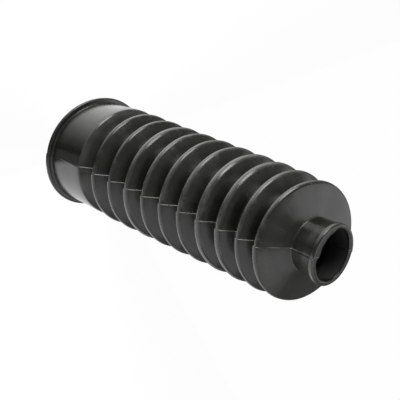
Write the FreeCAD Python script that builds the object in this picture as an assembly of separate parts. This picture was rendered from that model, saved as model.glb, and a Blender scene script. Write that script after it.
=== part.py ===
import FreeCAD, Part
import math
import os
from FreeCAD import Vector

# A moulded rubber bellows boot in one piece, open from end to end.
# It stands on its flanged end: the origin is the centre of that end face,
# and +Z runs up the axis to the narrow neck. All sizes are in millimetres.

# Driving dimensions

wall = 2.4

flange_radius = 42.4
flange_thickness = 3.2
flange_bevel = 0.9

cuff_radius = 39.2
cuff_length = 36.6

fold_count = 10
fold_pitch = 18.5
first_fold_rise = 16.5
crest_radius = 40.0
crest_land = 1.8
valley_radius = 29.8
valley_land = 2.4

end_cone_height = 6.9
neck_root_radius = 18.2
neck_top_radius = 19.1
neck_length = 14.6
bore_radius = 16.0

lip_radius = 19.7
lip_length = 3.6
lip_bevel = 0.8
mouth_bevel = 0.5


def crest_height(index):
    """Height above the flange face of a fold's crest, counted from 0 at the cuff."""
    return cuff_length + first_fold_rise + fold_pitch * index


def valley_heights():
    """Heights of the valley middles, the first one midway up the first fold's shorter rise."""
    first = cuff_length + (first_fold_rise - crest_land / 2) / 2
    return [first] + [crest_height(index) - fold_pitch / 2 for index in range(1, fold_count)]


def flange_outline():
    """The outward rim round the open end, with both of its edges bevelled."""
    return [
        (flange_radius - flange_bevel, 0),
        (flange_radius, flange_bevel),
        (flange_radius, flange_thickness - flange_bevel),
        (flange_radius - flange_bevel, flange_thickness),
        (cuff_radius, flange_thickness),
    ]


def fold_outline():
    """The outer skin of the folds: a flat land on each valley and crest, straight flanks between."""
    outline = []
    for index, valley in enumerate(valley_heights()):
        crest = crest_height(index)
        outline += [(valley_radius, valley - valley_land / 2), (valley_radius, valley + valley_land / 2)]
        outline += [(crest_radius, crest - crest_land / 2), (crest_radius, crest + crest_land / 2)]
    return outline


def neck_root_height():
    """Height at which the end cone meets the neck."""
    return crest_height(fold_count - 1) + crest_land / 2 + end_cone_height


def lip_height():
    """Height of the underside of the lip."""
    return neck_root_height() + neck_length


def skin_outline():
    """The outer skin from the flange face to the underside of the lip, without the rim itself."""
    start = [(cuff_radius, 0), (cuff_radius, cuff_length)]
    end = [(neck_root_radius, neck_root_height()), (neck_top_radius, lip_height())]
    return start + fold_outline() + end


def lip_outline():
    """The bead round the neck's mouth, bevelled outside and inside."""
    mouth = lip_height() + lip_length
    return [
        (lip_radius, lip_height()),
        (lip_radius, mouth - lip_bevel),
        (lip_radius - lip_bevel, mouth),
        (bore_radius + mouth_bevel, mouth),
        (bore_radius, mouth - mouth_bevel),
    ]


def wall_line(lower, upper):
    """The inner line of the wall whose outer line runs up from lower to upper, as a point and a direction."""
    reach = upper[0] - lower[0]
    rise = upper[1] - lower[1]
    length = math.hypot(reach, rise)
    point = (lower[0] - wall * rise / length, lower[1] + wall * reach / length)
    return point, (reach / length, rise / length)


def crossing(first, second):
    """The point where two lines meet, each one given as a point and a direction."""
    (ax, ay), (ux, uy) = first
    (bx, by), (vx, vy) = second
    along = ((bx - ax) * vy - (by - ay) * vx) / (ux * vy - uy * vx)
    return (ax + ux * along, ay + uy * along)


def hollow_outline():
    """The inside, a wall's thickness in from the skin, from the bore down to the flange face.

    The inner crests come to an edge, because the wall is thicker than their lands are wide."""
    skin = skin_outline()
    cuff_line = wall_line(skin[0], skin[1])
    outline = [(cuff_radius - wall, 0)]
    below = cuff_line
    folds = skin[1:-2]
    for index in range(fold_count):
        cuff_or_crest, valley_bottom, valley_top, crest_bottom = folds[4 * index:4 * index + 4]
        falling = wall_line(cuff_or_crest, valley_bottom)
        floor = wall_line(valley_bottom, valley_top)
        rising = wall_line(valley_top, crest_bottom)
        outline += [crossing(below, falling), crossing(falling, floor), crossing(floor, rising)]
        below = rising
    end_cone = wall_line(skin[-3], skin[-2])
    bore = ((bore_radius, 0), (0, 1))
    outline += [crossing(below, end_cone), crossing(end_cone, bore)]
    return outline[::-1]


def bellows_boot():
    """The whole boot: its section turned once about the axis."""
    outline = flange_outline() + skin_outline()[1:] + lip_outline() + hollow_outline()
    points = [Vector(radius, 0, height) for radius, height in outline]
    section = Part.Face(Part.makePolygon(points + points[:1]))
    return section.revolve(Vector(0, 0, 0), Vector(0, 0, 1), 360)


os.makedirs("parts", exist_ok=True)
boot = bellows_boot()
boot.exportStep("parts/bellows_boot.step")
print("bellows_boot", "valid", boot.isValid(), "volume cm3", round(boot.Volume / 1000, 2))
print("height", round(boot.BoundBox.ZLength, 2), "width", round(boot.BoundBox.XLength, 2))
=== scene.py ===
import math

import bpy
import numpy as np
from mathutils import Matrix, Vector


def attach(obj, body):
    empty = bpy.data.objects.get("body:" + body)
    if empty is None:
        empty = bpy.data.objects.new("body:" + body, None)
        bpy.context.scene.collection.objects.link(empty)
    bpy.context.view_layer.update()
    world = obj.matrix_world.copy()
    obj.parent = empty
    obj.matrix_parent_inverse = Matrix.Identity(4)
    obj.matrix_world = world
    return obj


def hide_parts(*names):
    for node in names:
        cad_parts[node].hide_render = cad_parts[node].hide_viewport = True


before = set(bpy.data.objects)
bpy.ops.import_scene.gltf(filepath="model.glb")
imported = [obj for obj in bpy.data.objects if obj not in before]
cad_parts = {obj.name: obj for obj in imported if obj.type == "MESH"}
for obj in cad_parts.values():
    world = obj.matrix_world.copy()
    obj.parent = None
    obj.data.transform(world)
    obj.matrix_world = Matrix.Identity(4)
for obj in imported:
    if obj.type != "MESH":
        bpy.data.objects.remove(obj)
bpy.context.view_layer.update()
mm = 0.001                               # lengths are in millimetres unless a note says metres
print("stage: frame loaded")


# The boot's section, the same sizes as its solid, with the rounds that the mould gives it

bootSize = {
    "wall": 2.4,
    "flangeRadius": 42.4,
    "flangeThickness": 3.2,
    "flangeBevel": 0.9,
    "flangeRound": 1.5,
    "flangeRootRound": 0.8,
    "cuffRadius": 39.2,
    "cuffLength": 36.6,
    "cuffEdgeRound": 2.4,
    "folds": 10,
    "foldPitch": 18.5,
    "firstFoldRise": 16.5,
    "crestRadius": 40.0,
    "crestLand": 1.8,
    "crestRound": 2.4,
    "bluntCrests": {2: 3.6, 6: 3.8, 7: 3.6},    # rounder crests, counted from 0 at the cuff
    "valleyRadius": 29.8,
    "valleyLand": 2.4,
    "valleyRound": 2.2,
    "endConeHeight": 6.9,
    "neckRootRadius": 18.2,
    "neckTopRadius": 19.1,
    "neckLength": 14.6,
    "neckRootRound": 0.7,
    "boreRadius": 16.0,
    "lipRadius": 19.7,
    "lipLength": 3.6,
    "lipBevel": 0.8,
    "lipRound": 1.2,
    "lipUnderRound": 0.6,
    "lipRootRound": 0.4,
    "mouthBevel": 0.5,
    "mouthRound": 0.5,
    "innerRound": 0.9,
    "skinArcStep": 15.0,                 # degrees of a round between two points
    "hollowArcStep": 36.0,
    "sharpTurn": 0.02,                   # radians; a corner that turns less isn't rounded
    "straightStep": 5.5,                 # longest straight run between two points
}


def crestHeight(size, index):
    return size["cuffLength"] + size["firstFoldRise"] + size["foldPitch"] * index


def lastCrestHeight(size):
    return crestHeight(size, size["folds"] - 1)


def neckRootHeight(size):
    return lastCrestHeight(size) + size["crestLand"] / 2 + size["endConeHeight"]


def lipHeight(size):
    return neckRootHeight(size) + size["neckLength"]


def mouthHeight(size):
    return lipHeight(size) + size["lipLength"]


def wallLine(lower, upper, wall):
    # the inner line of the wall between two corners of the skin, as a point and a direction
    reach = np.array([upper[0] - lower[0], upper[1] - lower[1]])
    along = reach / np.linalg.norm(reach)
    return np.array(lower[:2]) + wall * np.array([-along[1], along[0]]), along


def crossing(first, second):
    # the point where two lines meet, each one a point and a direction
    (a, u), (b, v) = first, second
    gap = b - a
    return a + u * (gap[0] * v[1] - gap[1] * v[0]) / (u[0] * v[1] - u[1] * v[0])


def tangentTo(size, crest, rounding, foot):
    # the flank from its foot, touching the crest's round, as a point and a direction
    out = size["crestRadius"] - rounding - foot[0]
    up = abs(crest - foot[1])
    slope = math.atan2(out, up) + math.asin(rounding / math.hypot(out, up))
    side = 1 if crest > foot[1] else -1
    return np.array(foot), np.array([math.sin(slope), side * math.cos(slope)])


def skinCorners(size):
    # corners of the outer skin from the flange face up to the lip, each one (radius, height, round)
    cuff = size["cuffRadius"]
    halfLand = size["valleyLand"] / 2
    corners = [(cuff, 0.0, 0.0), (cuff, size["cuffLength"], size["cuffEdgeRound"])]
    valleys = [size["cuffLength"] + (size["firstFoldRise"] - size["crestLand"] / 2) / 2]
    valleys += [crestHeight(size, index) - size["foldPitch"] / 2 for index in range(1, size["folds"])]
    for index, valley in enumerate(valleys):
        crest = crestHeight(size, index)
        rounding = size["bluntCrests"].get(index, size["crestRound"])
        below = (size["valleyRadius"], valley + halfLand)
        above = (size["neckRootRadius"], neckRootHeight(size))
        if index < size["folds"] - 1:
            above = (size["valleyRadius"], valleys[index + 1] - halfLand)
        apex = crossing(tangentTo(size, crest, rounding, below), tangentTo(size, crest, rounding, above))
        corners.append((size["valleyRadius"], valley - halfLand, size["valleyRound"]))
        corners.append((*below, size["valleyRound"]))
        corners.append((*apex, rounding))
    corners.append((size["neckRootRadius"], neckRootHeight(size), size["neckRootRound"]))
    corners.append((size["neckTopRadius"], lipHeight(size), size["lipRootRound"]))
    return corners


def flangeCorners(size):
    outer = size["flangeRadius"]
    inset = outer - size["flangeBevel"]
    top = size["flangeThickness"]
    rounding = size["flangeRound"]
    return [
        (inset, 0.0, rounding),
        (outer, size["flangeBevel"], rounding),
        (outer, top - size["flangeBevel"], rounding),
        (inset, top, rounding),
        (size["cuffRadius"], top, size["flangeRootRound"]),
    ]


def lipCorners(size):
    mouth = mouthHeight(size)
    outer = size["lipRadius"]
    bore = size["boreRadius"]
    return [
        (outer, lipHeight(size), size["lipUnderRound"]),
        (outer, mouth - size["lipBevel"], size["lipRound"]),
        (outer - size["lipBevel"], mouth, size["lipRound"]),
        (bore + size["mouthBevel"], mouth, size["mouthRound"]),
        (bore, mouth - size["mouthBevel"], size["mouthRound"]),
    ]


def hollowCorners(size, skin):
    # the inside, from the bore down to the flange face
    lines = [wallLine(lower, upper, size["wall"]) for lower, upper in zip(skin[:-2], skin[1:-1])]
    lines.append((np.array([size["boreRadius"], 0.0]), np.array([0.0, 1.0])))
    corners = [(*crossing(below, above), size["innerRound"]) for below, above in zip(lines[:-1], lines[1:])]
    return corners[::-1] + [(size["cuffRadius"] - size["wall"], 0.0, size["mouthRound"])]


def cornerArc(here, toBefore, toAfter, rounding, arcStep, sharpTurn):
    # points of the round that touches both sides of a corner, or the corner itself
    half = math.acos(max(-1.0, min(1.0, toBefore @ toAfter))) / 2
    turn = math.pi - 2 * half
    if rounding == 0 or turn < sharpTurn:
        return [here]
    inward = toBefore + toAfter
    centre = here + inward / np.linalg.norm(inward) * rounding / math.sin(half)
    start = here + toBefore * rounding / math.tan(half) - centre
    sideways = np.array([-start[1], start[0]])
    if sideways @ toBefore > 0:
        sideways = -sideways
    steps = max(1, round(math.degrees(turn) / arcStep))
    angles = [turn * step / steps for step in range(steps + 1)]
    return [centre + start * math.cos(angle) + sideways * math.sin(angle) for angle in angles]


def roundedLoop(corners, sharpTurn, longest):
    # closed line through corners of radius, height, round and arc step, filled up on long straight runs
    points = []
    spots = [np.array(corner[:2]) for corner in corners]
    for index, here in enumerate(spots):
        toBefore = spots[index - 1] - here
        toAfter = spots[(index + 1) % len(spots)] - here
        toBefore /= np.linalg.norm(toBefore)
        toAfter /= np.linalg.norm(toAfter)
        rounding, arcStep = corners[index][2:]
        arc = cornerArc(here, toBefore, toAfter, rounding, arcStep, sharpTurn)
        if points:
            last = points[-1]
            pieces = math.ceil(np.linalg.norm(arc[0] - last) / longest)
            points += [last + (arc[0] - last) * piece / pieces for piece in range(1, pieces)]
        points += arc
    return np.array(points)


def bootSection(size):
    # the section's closed line, and how many of its points belong to the outer skin and the bore
    skin = skinCorners(size)
    hollow = hollowCorners(size, skin)
    corners = [(*corner, size["skinArcStep"]) for corner in flangeCorners(size) + skin[1:] + lipCorners(size)]
    corners += [(*corner, size["hollowArcStep"]) for corner in hollow]
    loop = roundedLoop(corners, size["sharpTurn"], size["straightStep"])
    boreEnd = np.array([size["boreRadius"], hollow[0][1]])
    outerCount = np.argmin(np.linalg.norm(loop - boreEnd, axis=1))
    print("stage: section has", len(loop), "points")
    return loop, outerCount


# Irregularities of the real moulding: the mould's halves don't quite meet, and the rubber sags and warps

bootForm = {
    "taper": 0.0062,                     # the folds widen a little towards the neck
    # the row of folds isn't quite straight: depth, height of its middle and length of the wave
    "bowX": (0.5, 125.0, 166.0),
    "bowY": (-0.5, 163.0, 200.0),
    "driftX": 1.3,                       # and it leans to one side
    "driftMiddle": 0.45,                 # share of the height at which that is nil
    "seamAngle": 1.8,                    # degrees from +X to the parting line
    "halfStep": 0.25,                    # each half of the mould stood this far to one side
    "halfBlend": 0.004,                  # share of the radius that the step takes on each side
    "seamPeak": 1.05,                    # the lower half's skin turns away beside the parting line
    "seamPeakWidth": 0.26,               # radians
    "seamPeakRest": 0.62,                # share of the peak that is taken off all round
    "seamPeakStart": 6.0,                # height above the flange at which it is full
    "neckPeakLoss": 0.6,                 # share of it that is missing on the neck
    "cuffPeak": 0.8,
    "cuffBlend": 1.0,                    # half the height over which the cuff's shape ends at its edge
    "cuffFlare": 0.4,
    "cuffOval": 1.3,                     # the open end is squashed by lying on its side
    "cuffNarrow": 0.9,
    "rimSpread": 0.6,                    # the flange itself stays a little wider
    "rimBlend": 0.6,
    "rimTuck": 1.0,                      # and is drawn in where it was pressed down
    "rimTuckPower": 4,                   # the higher, the shorter the stretch
    "rimLift": 5.8,                      # the flange curls up on one side
    "rimLiftPower": 3,
    "rimLiftAngle": -106.0,
    "lastCrestLean": (4.3, 1.4),         # degrees, towards +X and +Y
    "lastCrestStart": (-9.0, -2.0),      # from the last crest: where the lean starts and is full
    "lastCrestEnd": (3.0, 2.0),          # full to here above the crest, gone here above the neck's root
    "farLean": 0.45,                     # share of that lean on the far side
    "lastCrestShrink": 0.7,
    "neckShift": (0.0, 0.5),
    "neckLean": (-4.0, 3.0),             # degrees, towards +X and +Y
    "neckBlend": 2.0,                    # the neck's shape starts this far below its root
    "lipOval": 0.7,
    "boreOval": 1.2,
    "ovalRadii": (16.0, 19.0),           # the bore's oval up to the first, the lip's from the second on
    "trimDepth": 2.6,                    # the mouth is trimmed unevenly by hand
    "trimAngle": -38.0,                  # degrees from +X to the middle of the ragged stretch
    "trimReach": (34.0, 52.0),           # degrees to each side where it is full and gone
    "trimHeights": (-3.0, -0.6),         # from the mouth: where it starts and is full
    "trimRadii": (15.9, 19.0),           # full and gone
    "trimShare": 0.8,                    # share of the depth where there is no nick
    "nickSpan": 60.0,                    # degrees to each side with nicks in the cut
    "nickCount": 41,
    "nickDepth": 0.35,
    "nickShare": 0.5,
    "flashHeight": 0.2,
    "neckFlash": 1.5,                    # it's this many times as high on the neck
    "neckFlashStart": (1.0, 5.0),        # from the last crest: where that starts and is full
    # the flash is uneven: distance between its ups and downs, their least and their most
    "flashFine": (1.6, 0.2, 1.0),
    "flashBroad": (7.0, 0.0, 1.3),
    "flashLeast": 0.3,
    "flashWander": 0.15,                 # how far the parting line strays to each side
    "flashWanderStep": (5.0, -1.0, 1.0),
    "flashSteps": [-0.34, -0.12, 0.12, 0.34],
    "sideSteps": [0.62, 1.3, 2.4],       # further columns on each side of the flash
    "columnsPerHalf": 102,
    "lineLength": 900.0,                 # more than the way once along the section's line
    "seed": 7,
}


def smoothStep(low, high, value):
    # 0 below low, 1 above high and a soft step between
    share = np.clip((value - low) / (high - low), 0.0, 1.0)
    return share * share * (3 - 2 * share)


def unevenness(form, chance, along, step, least, most):
    # a wandering value along the section's line
    marks = np.arange(0, form["lineLength"], step)
    return np.interp(along, marks, chance.uniform(least, most, len(marks)))


def seamSteps(form):
    sides = form["sideSteps"]
    return np.array([-step for step in sides[::-1]] + form["flashSteps"] + sides)


def columnAngles(form, radii, along):
    # angle of every column at each point of the section; the parting lines lie half a turn apart
    steps = seamSteps(form)
    edge = steps[-1] / radii
    share = np.arange(1, form["columnsPerHalf"]) / form["columnsPerHalf"]
    chance = np.random.default_rng(form["seed"] + 2)
    wander = unevenness(form, chance, along, *form["flashWanderStep"])
    stray = wander * form["flashWander"] / radii
    first = math.radians(form["seamAngle"])
    rows = []
    for seam in (first + stray, first + math.pi + stray):
        rows.append(seam[:, None] + steps[None, :] / radii[:, None])
        start = seam + edge
        end = seam + math.pi - edge
        rows.append(start[:, None] + (end - start)[:, None] * share[None, :])
    return np.concatenate(rows, axis=1)


def flashLift(form, columns, along, onNeck):
    # height of the thin flash on each column, uneven along the parting line
    steps = seamSteps(form)
    crest = np.abs(steps) < np.abs(form["flashSteps"]).max()
    lift = np.zeros((len(along), columns))
    chance = np.random.default_rng(form["seed"])
    for seam in (0, columns // 2):
        fine = unevenness(form, chance, along, *form["flashFine"])
        broad = unevenness(form, chance, along, *form["flashBroad"])
        rough = form["flashLeast"] + fine * broad
        rough = rough * (1 + (form["neckFlash"] - 1) * onNeck)
        lift[:, seam:seam + len(steps)] = form["flashHeight"] * rough[:, None] * crest[None, :]
    return lift


def regions(form, size, height, angle):
    # how far each point belongs to a part of the boot, from 0 to 1
    root = neckRootHeight(size)
    cuff = size["cuffLength"]
    lastCrest = lastCrestHeight(size)
    turned = angle - math.radians(form["seamAngle"])
    fromSeam = np.abs(np.arctan2(np.sin(turned), np.abs(np.cos(turned))))
    leaning, leaningFully = (lastCrest + step for step in form["lastCrestStart"])
    on = {}
    on["lowerHalf"] = smoothStep(-form["halfBlend"], form["halfBlend"], np.sin(turned))
    on["seam"] = np.exp(-fromSeam / form["seamPeakWidth"])
    on["cuff"] = 1 - smoothStep(cuff - form["cuffBlend"], cuff + form["cuffBlend"], height)
    on["cuffEnd"] = on["cuff"] * (1 - height / cuff)
    on["neck"] = smoothStep(root - form["neckBlend"], mouthHeight(size), height)
    on["lastCrest"] = smoothStep(leaning, leaningFully, height)
    upTo, gone = form["lastCrestEnd"]
    on["lastCrest"] = on["lastCrest"] * (1 - smoothStep(lastCrest + upTo, root + gone, height))
    return on


def bendRadius(form, size, radius, height, angle, outer, on):
    # distance from the axis, as the rubber and the mould's halves changed it
    sine = np.sin(angle)
    mouth = mouthHeight(size)
    flange = size["flangeThickness"]
    alongCuff = 2 * height / size["cuffLength"] - 1
    radius = radius - form["lastCrestShrink"] * on["lastCrest"]
    radius = radius + on["cuff"] * form["cuffFlare"] * alongCuff
    radius = radius - on["cuffEnd"] * (form["cuffNarrow"] + form["cuffOval"] * np.minimum(sine, 0) ** 2)
    onRim = outer * (1 - smoothStep(flange, flange + form["rimBlend"], height))
    tuck = form["rimTuck"] * np.maximum(sine, 0) ** form["rimTuckPower"]
    radius = radius + onRim * (form["rimSpread"] - tuck)
    radius = radius * (1 + form["taper"] * (height - mouth / 2) / mouth * 2 * (1 - on["neck"]))
    peak = form["seamPeak"] + form["cuffPeak"] * on["cuff"] * alongCuff
    peak = peak * smoothStep(flange, flange + form["seamPeakStart"], height)
    peak = outer * on["lowerHalf"] * peak * (on["seam"] - form["seamPeakRest"])
    radius = radius + peak * (1 - on["neck"] * form["neckPeakLoss"])
    oval = form["boreOval"] + (form["lipOval"] - form["boreOval"]) * smoothStep(*form["ovalRadii"], radius)
    return radius - on["neck"] * oval * np.cos(2 * angle)


def slopes(lean):
    return [math.tan(math.radians(angle)) for angle in lean]


def bow(share, height, depth, middle, wave):
    return depth * share * np.cos((height - middle) / wave * 2 * math.pi)


def bend(form, size, radius, height, angle, outer):
    # takes the section's round points to the warped shape; outer is 1 on the outer skin and 0 inside
    on = regions(form, size, height, angle)
    radius = bendRadius(form, size, radius, height, angle, outer, on)
    x = radius * np.cos(angle) + outer * (2 * on["lowerHalf"] - 1) * form["halfStep"]
    y = radius * np.sin(angle)
    curl = (0.5 + 0.5 * np.cos(angle - math.radians(form["rimLiftAngle"]))) ** form["rimLiftPower"]
    z = height + on["cuffEnd"] * form["rimLift"] * curl
    leanX, leanY = slopes(form["lastCrestLean"])
    z = z - on["lastCrest"] * (np.where(x > 0, x, x * form["farLean"]) * leanX + y * leanY)
    leanX, leanY = slopes(form["neckLean"])
    z = z - on["neck"] * (x * leanX + y * leanY)
    x = x + on["neck"] * form["neckShift"][0]
    y = y + on["neck"] * form["neckShift"][1]
    aboveRim = smoothStep(0, size["cuffLength"], height)
    x = x + bow(aboveRim, height, *form["bowX"])
    x = x + form["driftX"] * aboveRim * (height / mouthHeight(size) - form["driftMiddle"])
    y = y + bow(aboveRim, height, *form["bowY"])
    return x, y, z


def trimMouth(form, size, radius, height, angle):
    # ragged rubber left at the mouth's edge where it was cut by hand
    mouth = mouthHeight(size)
    start, full = form["trimHeights"]
    atMouth = smoothStep(mouth + start, mouth + full, height) * (1 - smoothStep(*form["trimRadii"], radius))
    turn = np.degrees((angle - math.radians(form["trimAngle"]) + math.pi) % (2 * math.pi)) - 180
    inward = (1 - smoothStep(*form["trimReach"], np.abs(turn))) * form["trimDepth"]
    chance = np.random.default_rng(form["seed"] + 1)
    places = np.linspace(-form["nickSpan"], form["nickSpan"], form["nickCount"])
    nicks = np.interp(turn, places, chance.uniform(-form["nickDepth"], form["nickDepth"], form["nickCount"]))
    return radius - atMouth * (inward * (form["trimShare"] + form["nickShare"] * nicks))


def gridFaces(rows, columns):
    # four-cornered faces of a grid that closes on itself both ways
    i, j = np.meshgrid(np.arange(rows), np.arange(columns), indexing="ij")
    here = i * columns
    above = (i + 1) % rows * columns
    beside = (j + 1) % columns
    return np.stack([here + j, here + beside, above + beside, above + j], axis=-1).reshape(-1, 4)


def buildBoot(name, size, form):
    section, outerCount = bootSection(size)
    along = np.cumsum(np.linalg.norm(np.diff(section, axis=0, prepend=section[:1]), axis=1))
    angles = columnAngles(form, section[:, 0], along)
    rows, columns = angles.shape
    radii = section[:, :1] + np.zeros(columns)
    heights = section[:, 1:] + np.zeros(columns)
    outer = (np.arange(rows) < outerCount)[:, None] * np.ones(columns)
    radii = trimMouth(form, size, radii, heights, angles)
    start, full = form["neckFlashStart"]
    lastCrest = lastCrestHeight(size)
    onNeck = smoothStep(lastCrest + start, lastCrest + full, section[:, 1])
    radii = radii + outer * flashLift(form, columns, along, onNeck)
    x, y, z = bend(form, size, radii, heights, angles, outer)
    vertices = np.stack([x, y, np.maximum(z, 0)], axis=-1).reshape(-1, 3) * mm
    mesh = bpy.data.meshes.new(name)
    mesh.from_pydata(vertices.tolist(), [], gridFaces(rows, columns).tolist())
    mesh.shade_smooth()
    piece = bpy.data.objects.new(name, mesh)
    bpy.context.scene.collection.objects.link(piece)
    print("stage:", name, "has", len(mesh.polygons) * 2, "triangles")
    return piece


bootPiece = buildBoot("mouldedBoot", bootSize, bootForm)
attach(bootPiece, "root")
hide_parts("bellows_boot")


# Shader maths, written as plain sums

class Wire:
    def __init__(self, tree, socket=None):
        self.tree = tree
        self.socket = socket

    def node(self, kind, settings=None, sockets=None, output=0):
        made = self.tree.nodes.new(kind)
        for name, value in (settings or {}).items():
            setattr(made, name, value)
        for name, value in (sockets or {}).items():
            if isinstance(value, Wire):
                self.tree.links.new(value.socket, made.inputs[name])
            else:
                made.inputs[name].default_value = value
        return Wire(self.tree, made.outputs[output])

    def other(self, output):
        return Wire(self.tree, self.socket.node.outputs[output])

    def maths(self, operation, first, second=0.0):
        return self.node("ShaderNodeMath", {"operation": operation}, {0: first, 1: second})

    def ramp(self, low, high):
        # 0 below low, 1 above high and a soft step between, or the reverse where low is the larger
        return self.node("ShaderNodeMapRange", {"interpolation_type": "SMOOTHSTEP"},
                         {"Value": self, "From Min": low, "From Max": high})

    def past(self, edge, band):
        # a ramp over a band that starts and ends so many millimetres beyond an edge
        return self.ramp((edge + band[0]) * mm, (edge + band[1]) * mm)

    def __add__(self, value):
        return self.maths("ADD", self, value)

    def __sub__(self, value):
        return self.maths("SUBTRACT", self, value)

    def __rsub__(self, value):
        return self.maths("SUBTRACT", value, self)

    def __mul__(self, value):
        return self.maths("MULTIPLY", self, value)

    def __pow__(self, value):
        return self.maths("POWER", self, value)

    def __truediv__(self, value):
        return self.maths("DIVIDE", self, value)

    __radd__ = __add__
    __rmul__ = __mul__


def noise(place, scale, detail, stretch=(1.0, 1.0, 1.0)):
    spread = place.node("ShaderNodeVectorMath", {"operation": "MULTIPLY"}, {0: place, 1: stretch})
    return place.node("ShaderNodeTexNoise", sockets={"Vector": spread, "Scale": scale, "Detail": detail})


def blend(share, first, second):
    # a Mix node's colours are its inputs 6 and 7 and its output 2
    return share.node("ShaderNodeMix", {"data_type": "RGBA"}, {0: share, 6: first, 7: second}, output=2)


# Black rubber from a steel mould: satin, faintly cloudy, with dust and worn edges, and with painted
# highlights, painted shade and painted light in its colour

rubberLook = {
    "colours": {
        "black": (0.014, 0.0145, 0.0115, 1.0),
        "bloom": (0.060, 0.062, 0.055, 1.0),    # grey film that comes out of old rubber
        "inside": (0.036, 0.037, 0.034, 1.0),   # duller skin in the bore, painted a lighter grey that stands in for light reaching into it
        # pale wear on the crests and scuffs, also the painted highlight on the crests, the cuff's edge and
        # the flash
        "wornAndHighlight": (0.20, 0.20, 0.18, 1.0),
        # painted shade: under the flash and towards the valleys' bottoms
        "paintedShade": (0.0, 0.0, 0.0, 1.0),
        "dust": (0.32, 0.32, 0.30, 1.0),
    },
    # painted over the black in this order: where, how strongly and in which colour
    "layers": [
        ("bloom", 1.0, "bloom"),
        # pale band on the crests, partly wear and partly painted highlight; on the cuff's edge only painted
        # highlight
        ("wearAndHighlight", 0.32, "wornAndHighlight"),
        ("streaks", 0.14, "bloom"),
        ("scuffs", 0.1, "wornAndHighlight"),
        # painted highlight along the flash of the parting line
        ("flash", 0.37, "wornAndHighlight"),
        # painted shadow just below the flash
        ("underFlash", 0.75, "paintedShade"),
        # lighter grey painted in the bore as painted light
        ("bore", 1.0, "inside"),
        # painted shade, darker towards the valleys' bottoms
        ("valleys", 0.65, "paintedShade"),
        ("specks", 0.8, "dust"),
    ],
    "specular": 0.75,
    "roughness": 0.25,
    # what changes the roughness: where, at which level not at all, and how much
    "rougher": [
        ("clouds", 0.5, 0.16),
        ("patches", 0.5, 0.1),
        ("wearAndHighlight", 0.0, -0.05),
        ("streaks", 0.5, 0.06),
        ("scuffs", 0.0, 0.12),
        ("bore", 0.0, 0.3),
    ],
    # unevenness of the skin: scale, detail and stretch of its noise, and its height in metres
    "relief": [
        (75.0, 2.0, (1.0, 1.0, 1.0), 0.00022),
        (1500.0, 2.0, (1.0, 1.0, 1.0), 0.000009),
        (1.0, 2.0, (30.0, 30.0, 900.0), 0.00001),
    ],
    # scale and detail of noise, and the levels between which it comes in
    "clouds": (38.0, 3.0),
    "patches": (150.0, 4.0, (1.0, 1.0, 1.6)),
    "bloomClouds": (0.38, 0.72),
    "bloomPatches": (0.2, 0.7),
    "wearAndHighlightPatches": (0.3, 0.7),
    "flashPatches": (0.3, 0.6),
    "streaks": (5.0, 3.0),
    "streakLevels": (0.35, 0.7),
    "streakTurn": 4.0,                   # how fast streaks change along the boot
    "scuffs": (150.0, 3.0),
    "scuffLevels": (0.55, 0.66),
    "speckPatches": (60.0, 2.0),
    "speckLevels": (0.5, 0.58),
    "speckScale": 230.0,
    "speckSize": (0.055, 0.022),
    # heights: from the cuff's edge, the last crest or the mouth
    "foldsStart": (6.0, 10.0),
    "shoulderStart": (-2.6, -0.8),
    "shoulderEnd": (1.0, 3.0),
    "valleyShadeEnd": (-3.0, 0.0),
    "endStart": (0.5, 2.5),
    "boreTop": (-3.5, -1.5),
    # radii: whole, or from the crests' or the bore's
    "wearAndHighlightBand": (-1.6, 0.0),
    "scuffBand": (-3.2, -1.4),
    "boreBand": (1.3, 1.7),
    "streakRadii": (21.0, 26.0),
    "valleyShadeRadii": (31.3, 38.0),
    "coneRadii": (20.5, 22.0),
    # distances from the parting line, towards the lower half
    "lowerHalf": (-0.2, 0.4),
    # where the painted highlight on the crests fades out towards the lower half
    "highlightFade": (-8.0, 4.0),
    "flashWidth": (0.16, 0.36),
    "shadeStart": (0.35, 0.5),
    "shadeEnd": (0.7, 1.3),
    # shares
    "bloomShare": 0.22,
    "lowerBloomAndLight": 0.06,                  # the lower half is a little greyer: partly its own duller film, partly painted light on that side
    "shoulderHighlight": 0.7,                 # the painted highlight on the cuff's edge is weaker than on the crests
    "wearAndHighlightLeast": 0.5,
    "flashLeast": 0.3,
    "cuffFlash": 0.2,                    # the painted highlight along the flash is faint on the cuff
    "endFlash": 0.9,                     # and paler on the end cone and the neck
    "coneShadeLoss": 0.8,                # with little painted shade below it on the cone
}


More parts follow.
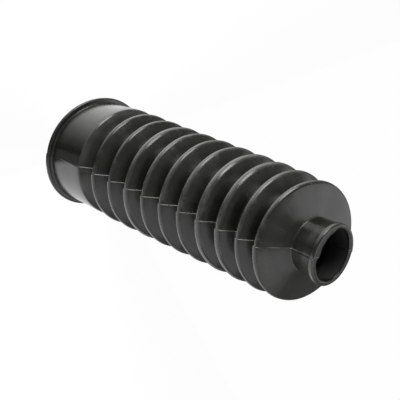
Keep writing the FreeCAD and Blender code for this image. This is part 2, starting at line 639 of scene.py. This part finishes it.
def rubberMasks(place, look, form, size):
    # where the rubber is bloomed, worn, scuffed or dusty, and where highlights, shade and light are painted,
    # each from 0 to 1
    x = place.node("ShaderNodeSeparateXYZ", sockets={0: place})
    y = x.other("Y")
    z = x.other("Z")
    radius = (x * x + y * y) ** 0.5
    turn = math.radians(form["seamAngle"])
    fromSeam = y * math.cos(turn) - x * math.sin(turn)
    edge = size["cuffLength"]
    lastCrest = lastCrestHeight(size)
    clouds = noise(place, *look["clouds"])
    patches = noise(place, *look["patches"])
    onFolds = z.past(edge, look["foldsStart"])
    pastFolds = z.past(lastCrest, look["endStart"])

    bloom = clouds.ramp(*look["bloomClouds"]) * look["bloomShare"]
    # the lower half painted a little greyer, partly painted light on that side
    bloom = bloom + fromSeam.past(0, look["lowerHalf"]) * look["lowerBloomAndLight"]

    # pale band on the crests, partly wear and partly painted highlight that fades out towards the lower half;
    # on the cuff's edge it is painted highlight only
    onShoulder = z.past(edge, look["shoulderStart"]) * (1 - z.past(edge, look["shoulderEnd"]))
    wearAndHighlight = radius.past(size["crestRadius"], look["wearAndHighlightBand"]) * onFolds + onShoulder * look["shoulderHighlight"]
    wearAndHighlight = wearAndHighlight * (patches.ramp(*look["wearAndHighlightPatches"]) * (1 - look["wearAndHighlightLeast"]) + look["wearAndHighlightLeast"])

    aroundZ = {0: x / radius, 1: y / radius, 2: z * look["streakTurn"]}
    streaks = noise(place.node("ShaderNodeCombineXYZ", sockets=aroundZ), *look["streaks"])
    scuffs = noise(place, *look["scuffs"]).ramp(*look["scuffLevels"]) * onFolds

    # painted highlight: a pale line along the parting line's flash
    flash = 1 - fromSeam.maths("ABSOLUTE", fromSeam).past(0, look["flashWidth"])
    flash = flash * (patches.ramp(*look["flashPatches"]) * (1 - look["flashLeast"]) + look["flashLeast"])
    flash = flash * (onFolds * (1 - look["cuffFlash"]) + look["cuffFlash"] + pastFolds * look["endFlash"])
    # painted shadow just below the flash, weak on the cone
    underFlash = fromSeam.past(0, look["shadeStart"]) * (1 - fromSeam.past(0, look["shadeEnd"]))
    onCone = pastFolds * radius.past(0, look["coneRadii"])

    # the bore: duller, and painted a lighter grey as painted light
    bore = 1 - radius.past(size["boreRadius"], look["boreBand"])
    # painted shade: darker towards the valleys' bottoms on the folds
    valleys = (1 - radius.past(0, look["valleyShadeRadii"])) * onFolds
    specks = place.node("ShaderNodeTexVoronoi", sockets={"Vector": place, "Scale": look["speckScale"]})
    speckPatches = noise(place, *look["speckPatches"]).ramp(*look["speckLevels"])
    return {
        "clouds": clouds,
        "patches": patches,
        "bloom": bloom * patches.ramp(*look["bloomPatches"]),
        "wearAndHighlight": wearAndHighlight * (1 - fromSeam.past(0, look["highlightFade"])),
        "streaks": streaks.ramp(*look["streakLevels"]) * radius.past(0, look["streakRadii"]),
        "scuffs": scuffs * radius.past(size["crestRadius"], look["scuffBand"]),
        "flash": flash,
        "underFlash": underFlash * (1 - onCone * look["coneShadeLoss"]),
        "bore": bore * (1 - z.past(mouthHeight(size), look["boreTop"])),
        "valleys": valleys * (1 - z.past(lastCrest, look["valleyShadeEnd"])),
        "specks": specks.ramp(*look["speckSize"]) * speckPatches,
    }


def mouldedRubber(look, form, size):
    material = bpy.data.materials.new("mouldedRubber")
    material.use_nodes = True
    tree = material.node_tree
    shader = tree.nodes["Principled BSDF"]
    shader.inputs["Specular IOR Level"].default_value = look["specular"]
    place = Wire(tree).node("ShaderNodeTexCoord", output="Object")
    masks = rubberMasks(place, look, form, size)

    colour = look["colours"]["black"]
    for mask, share, paint in look["layers"]:
        colour = blend(masks[mask] * share, colour, look["colours"][paint])
    tree.links.new(colour.socket, shader.inputs["Base Color"])

    roughness = look["roughness"]
    for mask, level, amount in look["rougher"]:
        roughness = roughness + (masks[mask] - level) * amount
    tree.links.new(roughness.socket, shader.inputs["Roughness"])

    relief = 0.0
    for scale, detail, stretch, height in look["relief"]:
        relief = relief + noise(place, scale, detail, stretch) * height
    bump = place.node("ShaderNodeBump", sockets={"Height": relief, "Distance": 1.0, "Strength": 1.0})
    tree.links.new(bump.socket, shader.inputs["Normal"])
    return material


bootPiece.data.materials.append(mouldedRubber(rubberLook, bootForm, bootSize))
print("stage: rubber painted")


# Camera, at the photograph's viewing angle

cameraSpec = {
    "aim": (13.0, -2.3, 135.3),          # a point on the line of sight
    "azimuth": -20.58,
    "elevation": 44.79,
    "roll": 113.56,
    "distance": 900.0,
    "lens": 123.8,
    "sensor": 36.0,
    "clipEnd": 20.0,                     # metres that the camera sees far
}


def direction(azimuth, elevation):
    turn = math.radians(azimuth)
    rise = math.radians(elevation)
    return Vector((math.cos(turn) * math.cos(rise), math.sin(turn) * math.cos(rise), math.sin(rise)))


def addCamera(spec):
    back = direction(spec["azimuth"], spec["elevation"])
    data = bpy.data.cameras.new("camera")
    data.lens = spec["lens"]
    data.sensor_width = spec["sensor"]
    data.clip_end = spec["clipEnd"]
    camera = bpy.data.objects.new("camera", data)
    camera.location = (Vector(spec["aim"]) + back * spec["distance"]) * mm
    turn = back.to_track_quat("Z", "Y").to_matrix() @ Matrix.Rotation(math.radians(spec["roll"]), 3, "Z")
    camera.rotation_euler = turn.to_euler()
    bpy.context.scene.collection.objects.link(camera)
    bpy.context.scene.camera = camera


addCamera(cameraSpec)


# Floor, white surroundings and soft lamps

studio = {
    "floorColour": (0.4, 0.4, 0.4, 1.0),        # the floor as it lights the boot
    "paperColour": (0.95, 0.95, 0.95, 1.0),     # the floor as the camera sees it, with its shadows
    "floorShown": 0.97,                  # how much of that is plain white instead
    "floorReach": 4.0,                   # metres from the middle to an edge
    "fill": 0.22,                        # the surroundings' own light, where 1 is white
    "lampAim": (0.0, 0.0, 0.12),         # metres; the lamps are placed round this point
    "lamps": {
        # azimuth and elevation in degrees, distance, width and height in metres, glow where 1 is white
        "window": (281, 17, 1.4, 0.7, 0.9, 6.0),
        "topLight": (82, 44, 1.4, 1.3, 1.2, 0.60),
        "farLight": (162, 60, 1.4, 1.3, 0.9, 1.15),
        "backLight": (185, 26, 1.4, 1.1, 0.75, 0.85),
        "sideLight": (46, 14, 1.4, 1.0, 1.0, 0.75),
    },
    "cards": {
        # white cards lying round the boot: from and to, and where their glow has faded in and
        # starts to fade out, all azimuths in degrees, then the reach in metres and the glow
        "windowCard": (195, 262, 276, 356, 3.0, 2.0),
        "nearCard": (10, 17, 90, 130, 3.0, 1.4),
    },
    "cardSteps": 24,
    "cardStart": 0.041,                  # metres from the boot's axis
    "cardHeight": 0.0003,                # metres
}


def addLamp(name, middle, azimuth, elevation, distance, width, height, glow):
    away = direction(azimuth, elevation)
    data = bpy.data.lights.new(name, "AREA")
    data.shape = "RECTANGLE"
    data.size = width
    data.size_y = height
    data.energy = glow * math.pi * width * height
    lamp = bpy.data.objects.new(name, data)
    lamp.location = middle + away * distance
    lamp.rotation_euler = away.to_track_quat("Z", "Y").to_euler()
    lamp.visible_camera = False
    bpy.context.scene.collection.objects.link(lamp)


def bareMaterial(name):
    # a material without its usual shader, and its output's input
    material = bpy.data.materials.new(name)
    material.use_nodes = True
    nodes = material.node_tree.nodes
    nodes.remove(nodes["Principled BSDF"])
    return material, nodes["Material Output"].inputs["Surface"]


def cardGlow(name, first, risen, falling, last, glow):
    # light that fades in and out with the azimuth
    material, surface = bareMaterial(name)
    place = Wire(material.node_tree).node("ShaderNodeTexCoord", output="Object")
    x = place.node("ShaderNodeSeparateXYZ", sockets={0: place})
    y = x.other("Y")
    middle = math.radians((first + last) / 2)
    along = x * math.cos(middle) + y * math.sin(middle)
    across = y * math.cos(middle) - x * math.sin(middle)
    turn = x.maths("ARCTAN2", across, along) * math.degrees(1) + (first + last) / 2
    fade = turn.ramp(first, risen) * (1 - turn.ramp(falling, last))
    shine = place.node("ShaderNodeEmission", sockets={"Color": fade, "Strength": glow})
    material.node_tree.links.new(shine.socket, surface)
    return material


def addCard(name, spec, first, risen, falling, last, reach, glow):
    # a glowing sector of a ring on the floor; the camera doesn't see it
    steps = spec["cardSteps"]
    turns = [math.radians(first + (last - first) * step / steps) for step in range(steps + 1)]
    corners = []
    for rim in (spec["cardStart"], reach):
        corners += [(rim * math.cos(turn), rim * math.sin(turn), spec["cardHeight"]) for turn in turns]
    faces = [(k, steps + 1 + k, steps + 2 + k, k + 1) for k in range(steps)]
    mesh = bpy.data.meshes.new(name)
    mesh.from_pydata(corners, [], faces)
    mesh.materials.append(cardGlow(name, first, risen, falling, last, glow))
    card = bpy.data.objects.new(name, mesh)
    card.visible_camera = False
    card.visible_shadow = False
    bpy.context.scene.collection.objects.link(card)


def addFloor(spec):
    reach = spec["floorReach"]
    corners = [(-reach, -reach, 0), (reach, -reach, 0), (reach, reach, 0), (-reach, reach, 0)]
    mesh = bpy.data.meshes.new("floor")
    mesh.from_pydata(corners, [], [(0, 1, 2, 3)])
    material, surface = bareMaterial("whiteFloor")
    path = Wire(material.node_tree).node("ShaderNodeLightPath")
    matt = path.node("ShaderNodeBsdfDiffuse", sockets={"Color": spec["floorColour"]})
    paper = path.node("ShaderNodeBsdfDiffuse", sockets={"Color": spec["paperColour"]})
    white = path.node("ShaderNodeEmission", sockets={"Color": (1, 1, 1, 1), "Strength": 1.0})
    shown = path.node("ShaderNodeMixShader", sockets={0: spec["floorShown"], 1: paper, 2: white})
    ground = path.node("ShaderNodeMixShader", sockets={0: path, 1: matt, 2: shown})
    material.node_tree.links.new(ground.socket, surface)
    mesh.materials.append(material)
    floor = bpy.data.objects.new("floor", mesh)
    bpy.context.scene.collection.objects.link(floor)


def addSurroundings(spec):
    # plain white to the camera, and only the fill to everything else
    world = bpy.data.worlds.new("studio")
    world.use_nodes = True
    tree = world.node_tree
    path = Wire(tree).node("ShaderNodeLightPath")
    strength = path * (1 - spec["fill"]) + spec["fill"]
    background = tree.nodes["Background"]
    background.inputs["Color"].default_value = (1, 1, 1, 1)
    tree.links.new(strength.socket, background.inputs["Strength"])
    bpy.context.scene.world = world


addFloor(studio)
addSurroundings(studio)
for lampName, lampSize in studio["lamps"].items():
    addLamp(lampName, Vector(studio["lampAim"]), *lampSize)
for cardName, cardSize in studio["cards"].items():
    addCard(cardName, studio, *cardSize)
bpy.context.scene.view_settings.view_transform = "Standard"
print("stage: studio lit")
